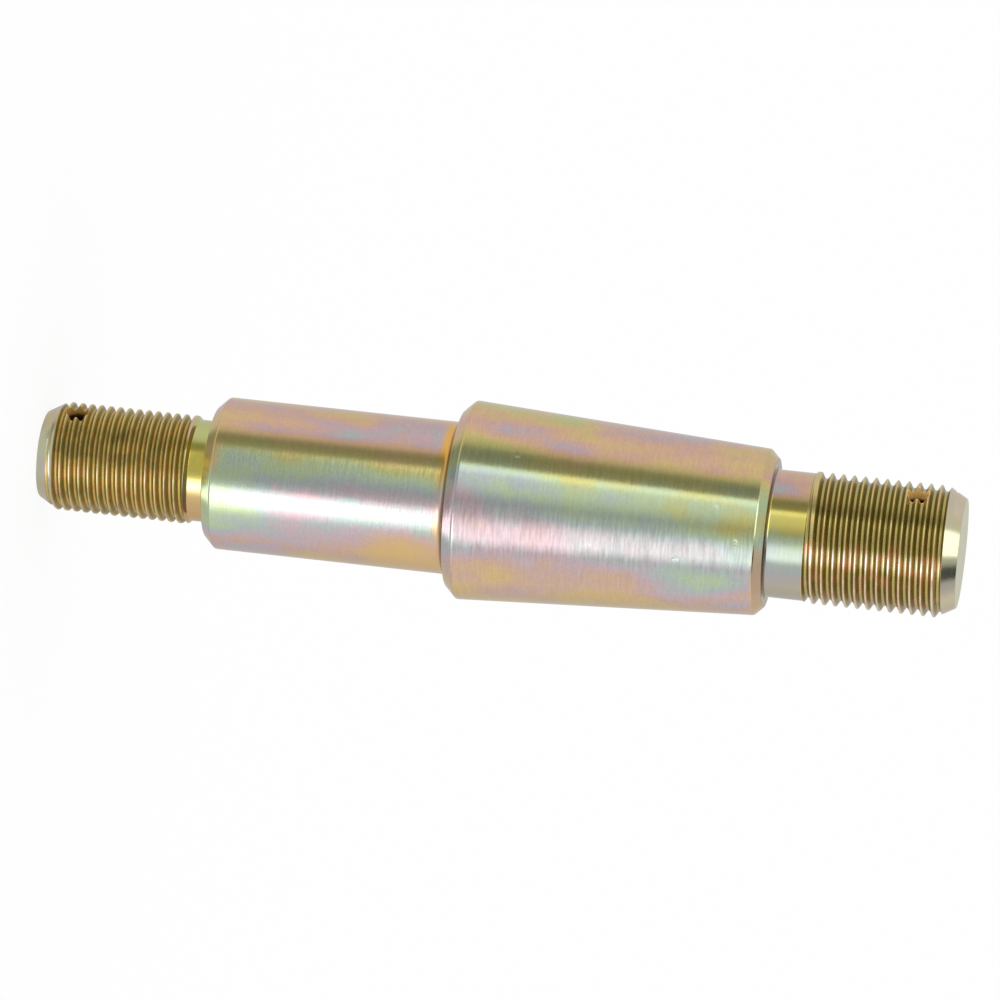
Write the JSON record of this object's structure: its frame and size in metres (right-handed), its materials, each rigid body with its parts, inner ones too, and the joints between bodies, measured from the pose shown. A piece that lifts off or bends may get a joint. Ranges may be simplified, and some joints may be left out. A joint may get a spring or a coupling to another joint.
{
  "type": "lift arm pin",
  "caption": "Turned steel lift arm pin with a parallel shank, a tapered body and a threaded, cross-drilled end at each side.",
  "frame": {"origin": "centre of the small threaded end's flat face, which the pin stands on", "axes": "+Z along the turning axis towards the large threaded end; both split pin holes run along X"},
  "size_m": [0.029, 0.029, 0.1349],
  "materials": {
    "yellow_zinc": "turned steel, yellow zinc passivated, slightly iridescent"
  },
  "bodies": {
    "root": {"lift_arm_pin": "yellow_zinc"}
  },
  "joints": []
}
